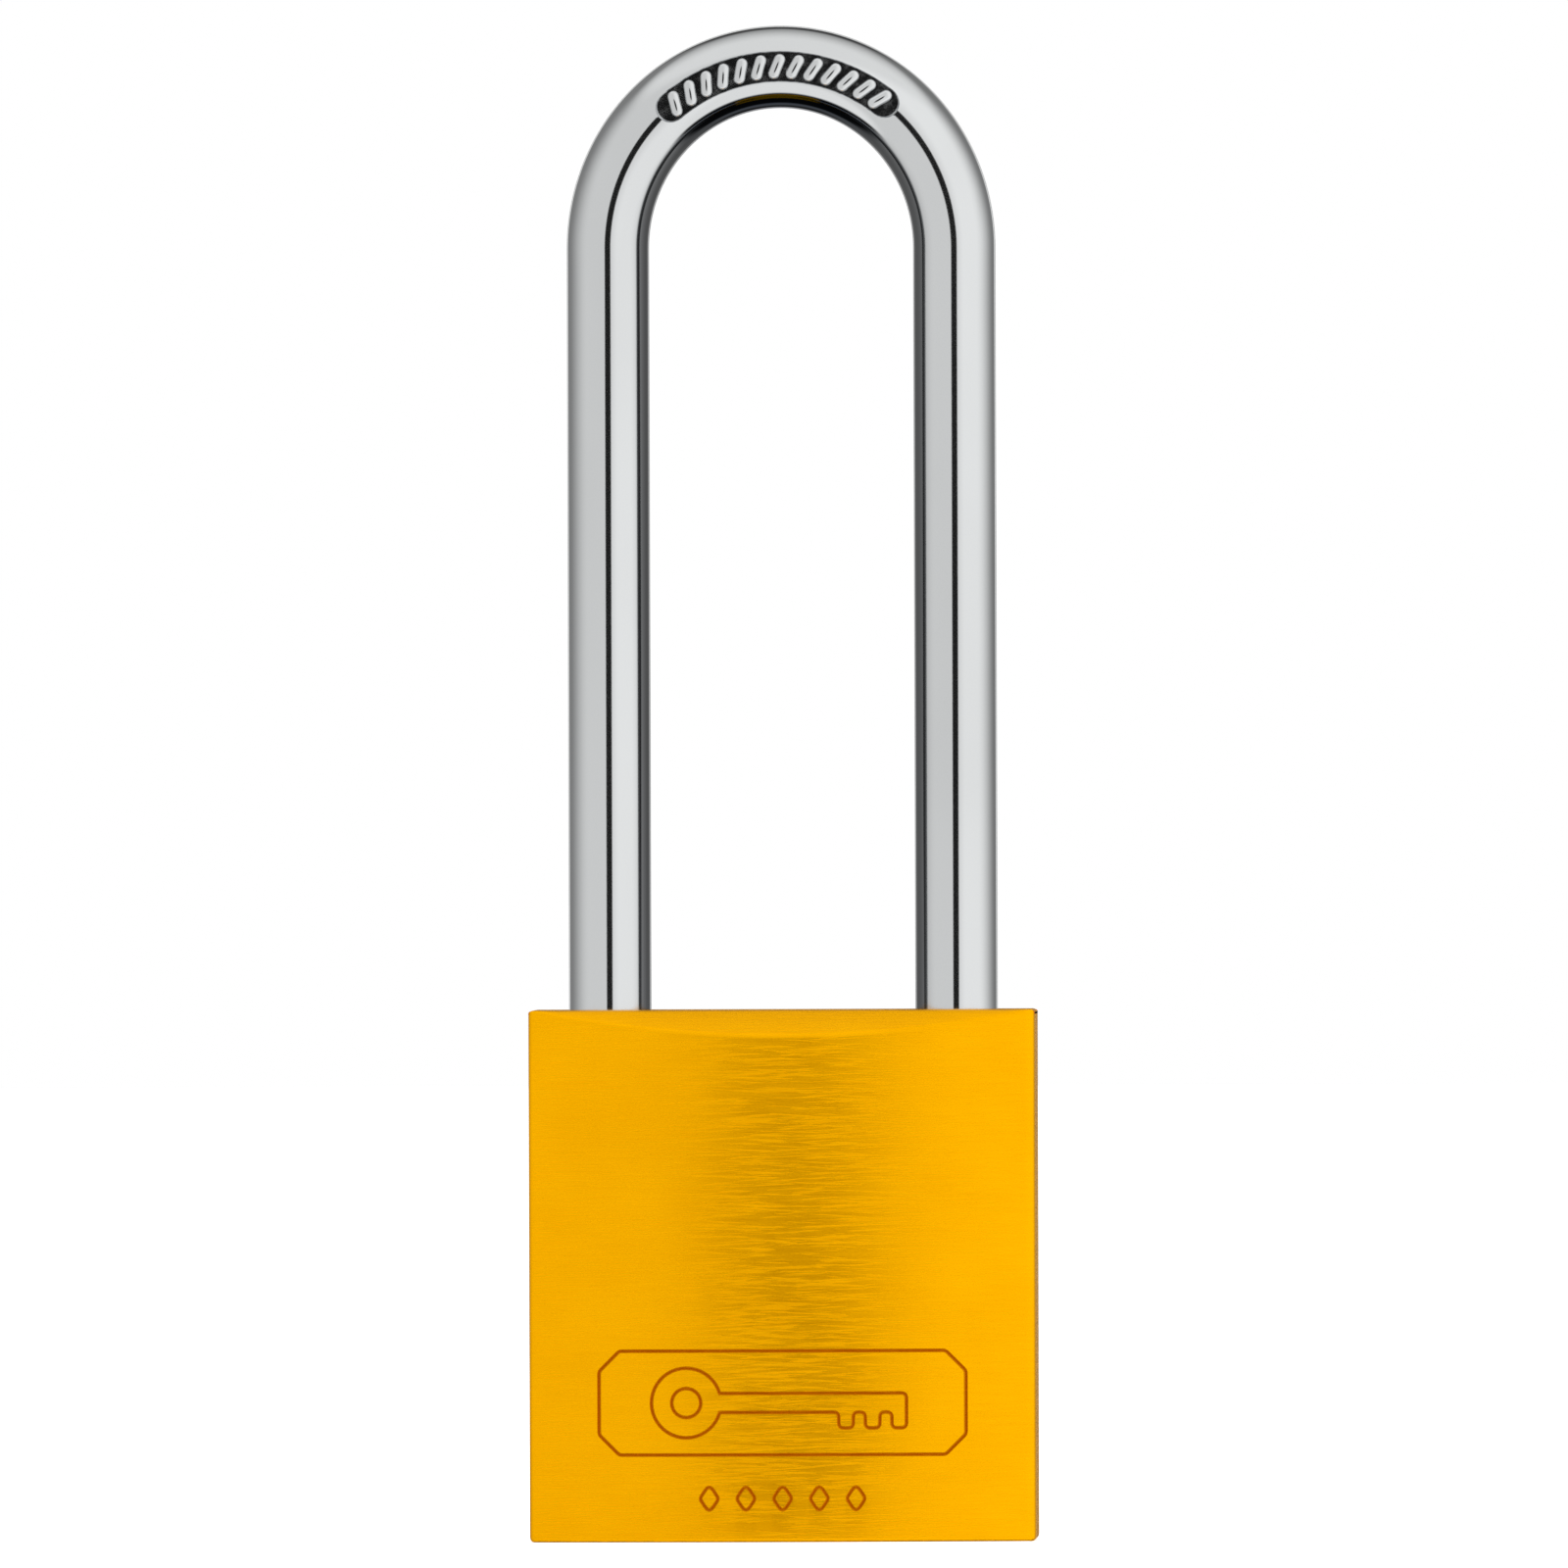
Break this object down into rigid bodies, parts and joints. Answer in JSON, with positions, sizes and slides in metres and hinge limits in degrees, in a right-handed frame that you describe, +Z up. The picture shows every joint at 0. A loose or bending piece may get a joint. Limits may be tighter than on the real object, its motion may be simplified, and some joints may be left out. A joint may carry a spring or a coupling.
{
  "type": "safety padlock",
  "caption": "Long-shackle safety padlock: yellow anodised aluminium body, chromed steel shackle locked by two balls, turned by a keyed cylinder in the underside.",
  "frame": {"origin": "centre of the underside of the lock body", "axes": "+Z up along the shackle legs, front face of the body towards -Y, +X towards the toe leg on the right"},
  "size_m": [0.04, 0.02, 0.1198],
  "materials": {
    "anodised_body": "yellow anodised, finely brushed",
    "chromed_shackle": "polished chrome plating",
    "hard_steel": "ground",
    "bearing_steel": "polished",
    "spring_steel": "drawn wire",
    "nickel_plated_brass": "satin nickel plating",
    "plug_brass": "satin nickel plating",
    "driver_nickel": "bright nickel",
    "pin_brass": "turned",
    "brass_strip": "rolled"
  },
  "bodies": {
    "lock_body_group": {"lock_body": "anodised_body", "shackle_retaining_pin": "hard_steel", "shackle_spring": "spring_steel", "cylinder_shell": "nickel_plated_brass", "cylinder_screw": "hard_steel", "chamber_cover": "brass_strip", "pin_spring_1": "spring_steel", "pin_spring_2": "spring_steel", "pin_spring_3": "spring_steel", "pin_spring_4": "spring_steel", "pin_spring_5": "spring_steel", "pin_spring_6": "spring_steel"},
    "spring_cap_group": {"spring_cap": "hard_steel"},
    "shackle_group": {"shackle": "chromed_shackle"},
    "plug_group": {"cylinder_plug": "plug_brass", "plug_clip": "spring_steel"},
    "rotor_group": {"ball_rotor": "hard_steel"},
    "ball_left_group": {"ball_left": "bearing_steel"},
    "ball_right_group": {"ball_right": "bearing_steel"},
    "key_pin_1_group": {"key_pin_1": "pin_brass"},
    "key_pin_2_group": {"key_pin_2": "pin_brass"},
    "key_pin_3_group": {"key_pin_3": "pin_brass"},
    "key_pin_4_group": {"key_pin_4": "pin_brass"},
    "key_pin_5_group": {"key_pin_5": "pin_brass"},
    "key_pin_6_group": {"key_pin_6": "pin_brass"},
    "driver_pin_1_group": {"driver_pin_1": "driver_nickel"},
    "driver_pin_2_group": {"driver_pin_2": "driver_nickel"},
    "driver_pin_3_group": {"driver_pin_3": "driver_nickel"},
    "driver_pin_4_group": {"driver_pin_4": "driver_nickel"},
    "driver_pin_5_group": {"driver_pin_5": "driver_nickel"},
    "driver_pin_6_group": {"driver_pin_6": "driver_nickel"}
  },
  "joints": [
    {"name": "shackle_lift", "type": "slide", "parent": "lock_body_group", "child": "spring_cap_group", "axis": [0, 0, 1], "range_m": [0, 0.013], "deforming": ["shackle_spring"]},
    {"name": "shackle_swing", "type": "hinge", "parent": "spring_cap_group", "child": "shackle_group", "pos_m": [-0.0137, 0, 0.042], "axis": [0, 0, 1], "continuous": true},
    {"name": "plug_turn", "type": "hinge", "parent": "lock_body_group", "child": "plug_group", "pos_m": [0, 0, 0.0006], "axis": [0, 0, -1], "range_deg": [0, 90]},
    {"name": "rotor_turn", "type": "hinge", "parent": "lock_body_group", "child": "rotor_group", "pos_m": [0, 0, 0.0253], "axis": [0, 0, -1], "range_deg": [0, 90]},
    {"name": "ball_left_slide", "type": "slide", "parent": "lock_body_group", "child": "ball_left_group", "axis": [-1, 0, 0], "range_m": [0, 0.00155]},
    {"name": "ball_right_slide", "type": "slide", "parent": "lock_body_group", "child": "ball_right_group", "axis": [1, 0, 0], "range_m": [0, 0.00155]},
    {"name": "key_pin_1_slide", "type": "slide", "parent": "plug_group", "child": "key_pin_1_group", "axis": [0, 1, 0], "range_m": [-0.002, 0]},
    {"name": "key_pin_2_slide", "type": "slide", "parent": "plug_group", "child": "key_pin_2_group", "axis": [0, 1, 0], "range_m": [-0.001, 0]},
    {"name": "key_pin_3_slide", "type": "slide", "parent": "plug_group", "child": "key_pin_3_group", "axis": [0, 1, 0], "range_m": [-0.0015, 0]},
    {"name": "key_pin_4_slide", "type": "slide", "parent": "plug_group", "child": "key_pin_4_group", "axis": [0, 1, 0], "range_m": [-0.0005, 0]},
    {"name": "key_pin_5_slide", "type": "slide", "parent": "plug_group", "child": "key_pin_5_group", "axis": [0, 1, 0], "range_m": [-0.0018, 0]},
    {"name": "key_pin_6_slide", "type": "slide", "parent": "plug_group", "child": "key_pin_6_group", "axis": [0, 1, 0], "range_m": [-0.0012, 0]},
    {"name": "driver_pin_1_slide", "type": "slide", "parent": "lock_body_group", "child": "driver_pin_1_group", "axis": [1, 0, 0], "range_m": [0, 0.0012], "stiffness_N_per_m": 60, "springref_m": -0.0005, "deforming": ["pin_spring_1"]},
    {"name": "driver_pin_2_slide", "type": "slide", "parent": "lock_body_group", "child": "driver_pin_2_group", "axis": [1, 0, 0], "range_m": [0, 0.0012], "stiffness_N_per_m": 60, "springref_m": -0.0005, "deforming": ["pin_spring_2"]},
    {"name": "driver_pin_3_slide", "type": "slide", "parent": "lock_body_group", "child": "driver_pin_3_group", "axis": [1, 0, 0], "range_m": [0, 0.0012], "stiffness_N_per_m": 60, "springref_m": -0.0005, "deforming": ["pin_spring_3"]},
    {"name": "driver_pin_4_slide", "type": "slide", "parent": "lock_body_group", "child": "driver_pin_4_group", "axis": [1, 0, 0], "range_m": [0, 0.0012], "stiffness_N_per_m": 60, "springref_m": -0.0005, "deforming": ["pin_spring_4"]},
    {"name": "driver_pin_5_slide", "type": "slide", "parent": "lock_body_group", "child": "driver_pin_5_group", "axis": [1, 0, 0], "range_m": [0, 0.0012], "stiffness_N_per_m": 60, "springref_m": -0.0005, "deforming": ["pin_spring_5"]},
    {"name": "driver_pin_6_slide", "type": "slide", "parent": "lock_body_group", "child": "driver_pin_6_group", "axis": [1, 0, 0], "range_m": [0, 0.0012], "stiffness_N_per_m": 60, "springref_m": -0.0005, "deforming": ["pin_spring_6"]}
  ],
  "couplings": [
    {"joint": "rotor_turn", "follows": "plug_turn", "ratio": 1},
    {"joint": "ball_left_slide", "follows": "plug_turn", "m_per_rad": 0.00095493},
    {"joint": "ball_right_slide", "follows": "plug_turn", "m_per_rad": 0.00095493}
  ]
}
